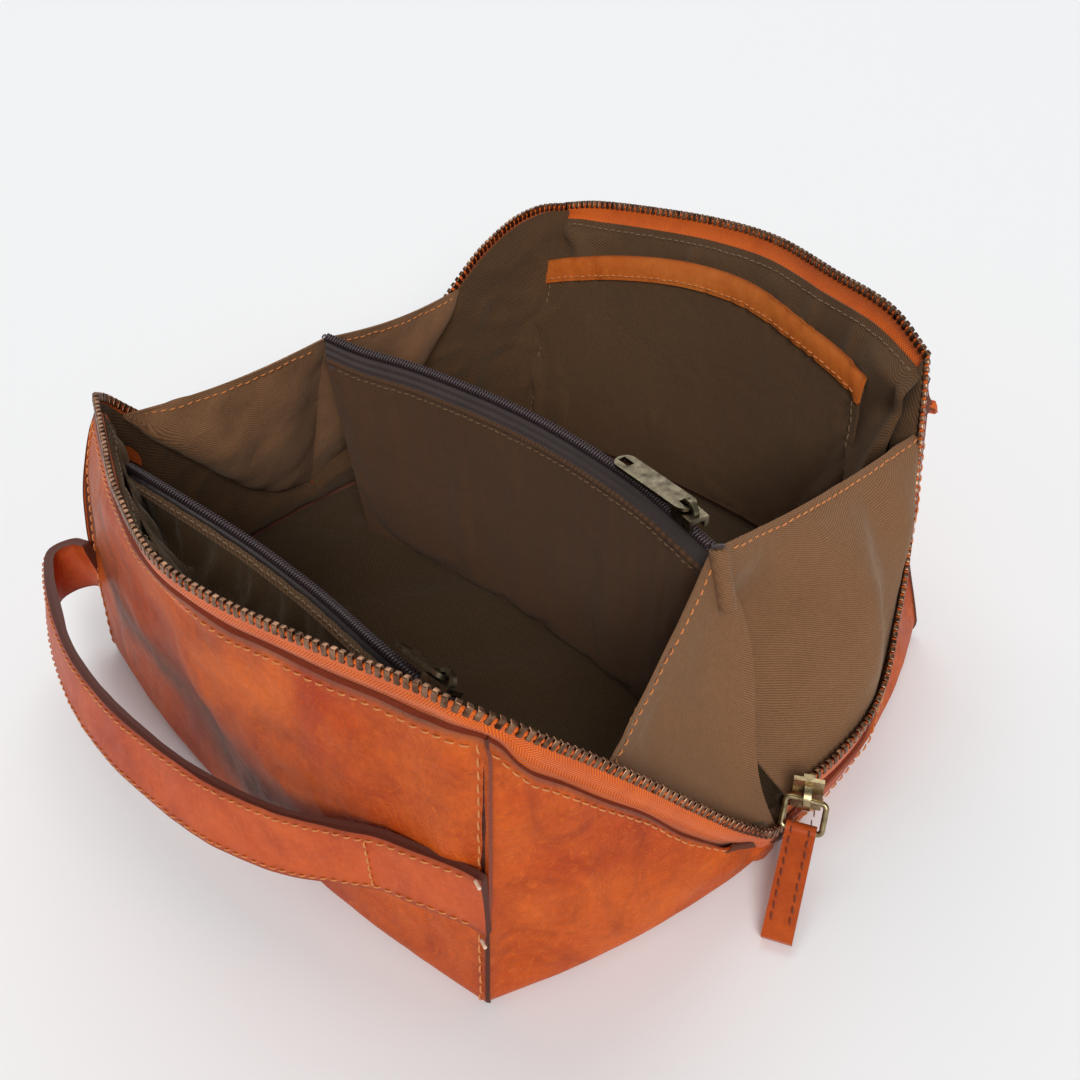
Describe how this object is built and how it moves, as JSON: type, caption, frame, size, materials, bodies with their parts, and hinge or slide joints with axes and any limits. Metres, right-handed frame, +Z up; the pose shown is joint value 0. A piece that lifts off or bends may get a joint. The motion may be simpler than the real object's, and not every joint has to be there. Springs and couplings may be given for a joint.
{
  "type": "shaving kit bag",
  "caption": "Soft leather wash bag standing wide open, with a wrap-round zip, zipped divider, cloth gussets, wall pockets and a side carry handle.",
  "frame": {"origin": "centre of the base's underside, on the surface the bag stands on", "axes": "+X along the handle wall towards the main slider's end, +Y from the handle wall to the rear wall, +Z up"},
  "size_m": [0.2869, 0.291, 0.1152],
  "materials": {
    "tan_leather": "waxed full-grain leather, tan with red-brown burnish",
    "handle_leather": "two-ply strap leather, satin",
    "leather_edge": "burnished cut edge",
    "tab_leather": "bright tan leather, satin",
    "trim_leather": "smooth light tan leather",
    "olive_twill": "matt cotton twill",
    "orange_tape": "herringbone-woven zip tape",
    "dark_zip": "dark woven tape and nylon coil",
    "antique_brass": "antiqued, worn bright on the tips",
    "gunmetal": "antiqued dark metal"
  },
  "bodies": {
    "bag": {"base_leather": "tan_leather", "base_lining": "olive_twill", "corner_seam_front_left": "leather_edge", "corner_seam_front_right": "leather_edge", "corner_seam_rear_left": "leather_edge", "corner_seam_rear_right": "leather_edge", "divider_front_sheet": "olive_twill", "divider_rear_sheet": "olive_twill", "divider_zip_coil": "dark_zip", "divider_zip_tape_front": "dark_zip", "divider_zip_tape_rear": "dark_zip", "front_zip_tape_left": "orange_tape", "front_zip_tape_right": "orange_tape", "front_zip_teeth_left": "antique_brass", "front_zip_teeth_right": "antique_brass", "gusset_left": "olive_twill", "gusset_right": "olive_twill", "rear_zip_tape_left": "orange_tape", "rear_zip_tape_right": "orange_tape", "rear_zip_teeth_left": "antique_brass", "rear_zip_teeth_right": "antique_brass", "side_lining_left": "olive_twill", "side_lining_right": "olive_twill", "side_panel_left": "tan_leather", "side_panel_right": "tan_leather", "zip_end_stop": "antique_brass"},
    "front_wall": {"front_pocket_panel": "olive_twill", "front_pocket_top_flap": "olive_twill", "front_pocket_zip_coil": "dark_zip", "front_pocket_zip_tape_lower": "dark_zip", "front_pocket_zip_tape_upper": "dark_zip", "front_wall_leather": "tan_leather", "front_wall_lining": "olive_twill", "front_zip_tape": "orange_tape", "front_zip_teeth": "antique_brass", "handle_end_inner_ply": "handle_leather", "handle_end_outer_ply": "handle_leather"},
    "rear_wall": {"rear_wall_leather": "tan_leather", "rear_wall_lining": "olive_twill", "rear_zip_tape": "orange_tape", "rear_zip_teeth": "antique_brass", "slip_pocket_panel": "olive_twill", "slip_pocket_trim": "trim_leather"},
    "carry_handle": {"handle_inner_ply": "handle_leather", "handle_outer_ply": "handle_leather"},
    "divider_zip_slider": {"divider_slider": "gunmetal"},
    "divider_zip_pull": {"divider_pull": "gunmetal"},
    "pocket_zip_slider": {"front_pocket_slider": "gunmetal"},
    "pocket_zip_pull": {"front_pocket_pull": "gunmetal"},
    "main_zip_slider": {"main_slider": "antique_brass"},
    "main_zip_ring": {"pull_ring": "antique_brass"},
    "main_zip_tab": {"pull_tab": "tab_leather"}
  },
  "joints": [
    {"name": "front_wall_fold", "type": "hinge", "parent": "bag", "child": "front_wall", "pos_m": [0, -0.1055, 0.0035], "axis": [-1, 0, 0], "range_deg": [0, 16]},
    {"name": "rear_wall_fold", "type": "hinge", "parent": "bag", "child": "rear_wall", "pos_m": [0, 0.1055, 0.0035], "axis": [1, 0, 0], "range_deg": [0, 22]},
    {"name": "handle_lift", "type": "hinge", "parent": "front_wall", "child": "carry_handle", "pos_m": [0.076, -0.1175, 0.056], "axis": [-0.9994, 0, -0.0354], "range_deg": [0, 45]},
    {"name": "divider_zip_travel", "type": "hinge", "parent": "bag", "child": "divider_zip_slider", "pos_m": [0, -0.28462, 0.09505], "axis": [0, 0, 1], "range_deg": [0, 30.99]},
    {"name": "divider_pull_flip", "type": "hinge", "parent": "divider_zip_slider", "child": "divider_zip_pull", "pos_m": [0.08, 0.00205, 0.1002], "axis": [0.2688, 0.9632, 0], "range_deg": [0, 150]},
    {"name": "pocket_zip_travel", "type": "slide", "parent": "front_wall", "child": "pocket_zip_slider", "axis": [-1, 0, 0], "range_m": [0, 0.148]},
    {"name": "pocket_pull_flip", "type": "hinge", "parent": "pocket_zip_slider", "child": "pocket_zip_pull", "pos_m": [0.076, -0.08885, 0.09155], "axis": [0, 0.7071, -0.7071], "range_deg": [0, 150]},
    {"name": "main_zip_travel", "type": "slide", "parent": "bag", "child": "main_zip_slider", "axis": [0, 0, 1], "range_m": [0, 0.006]},
    {"name": "ring_swing", "type": "hinge", "parent": "main_zip_slider", "child": "main_zip_ring", "pos_m": [0.13651, -0.00605, 0.025], "axis": [-0.9063, -0.4226, 0], "range_deg": [0, 100]},
    {"name": "tab_swing", "type": "hinge", "parent": "main_zip_ring", "child": "main_zip_tab", "pos_m": [0.13851, -0.01036, 0.01677], "axis": [-0.9063, -0.4226, 0], "range_deg": [0, 60]}
  ]
}
